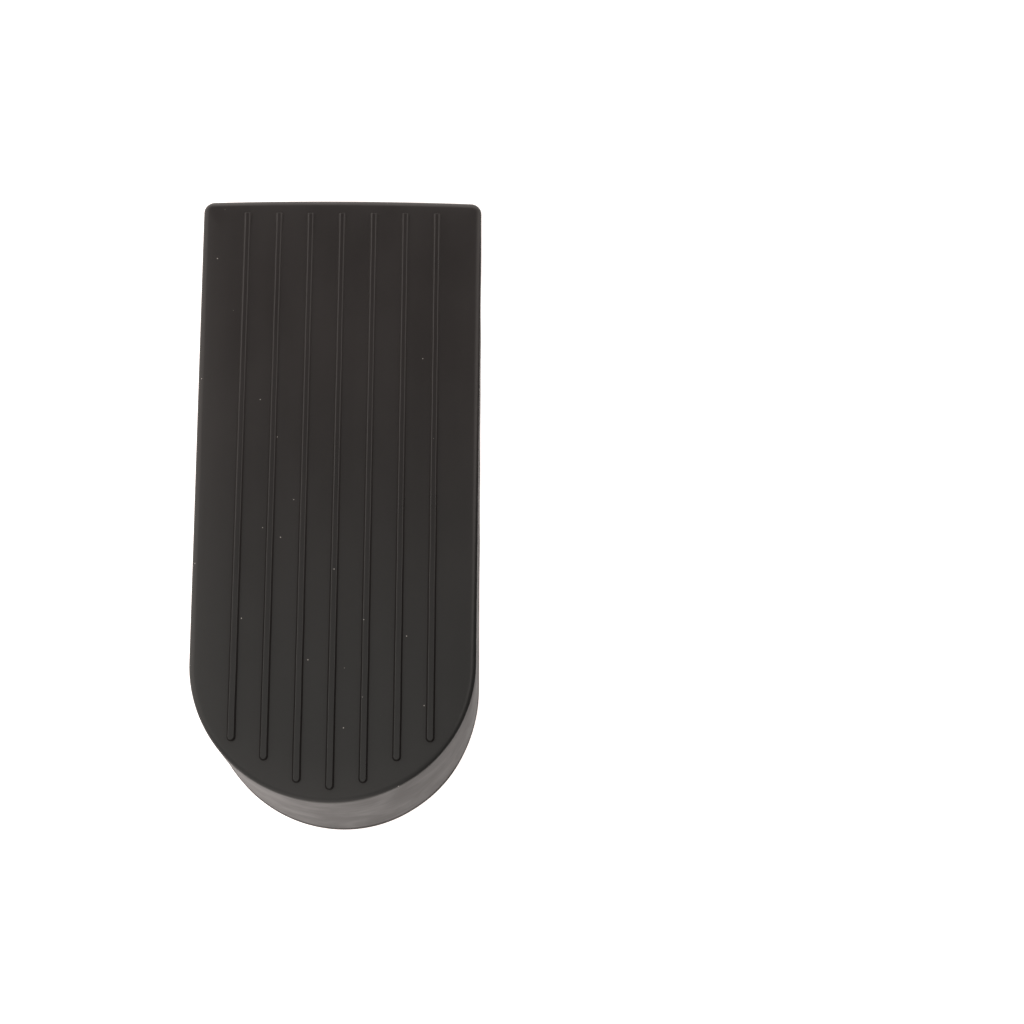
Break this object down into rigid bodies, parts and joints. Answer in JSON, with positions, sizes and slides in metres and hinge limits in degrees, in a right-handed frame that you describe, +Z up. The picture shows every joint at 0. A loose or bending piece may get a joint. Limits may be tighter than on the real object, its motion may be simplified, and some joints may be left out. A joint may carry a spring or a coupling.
{
  "type": "door wedge",
  "caption": "Moulded rubber door wedge with a sloping ribbed face, a half-round thick end, a square thin end and a flat gripping sole.",
  "frame": {"origin": "middle of the footprint's box, on the floor", "axes": "+X across the wedge, +Y from the thick round end to the thin square end, +Z up"},
  "size_m": [0.0524, 0.1206, 0.0317],
  "materials": {
    "deck_rubber": "matte, fine moulded grain, very dark warm brown",
    "wall_rubber": "satin moulded wall with faint level flow streaks, very dark warm brown",
    "sole_rubber": "matte grip layer, near black"
  },
  "bodies": {
    "root": {"tread_deck": "deck_rubber", "wedge_body": "wall_rubber", "floor_sole": "sole_rubber", "grip_rib_1": "deck_rubber", "grip_rib_2": "deck_rubber", "grip_rib_3": "deck_rubber", "grip_rib_4": "deck_rubber", "grip_rib_5": "deck_rubber", "grip_rib_6": "deck_rubber", "grip_rib_7": "deck_rubber"}
  },
  "joints": []
}
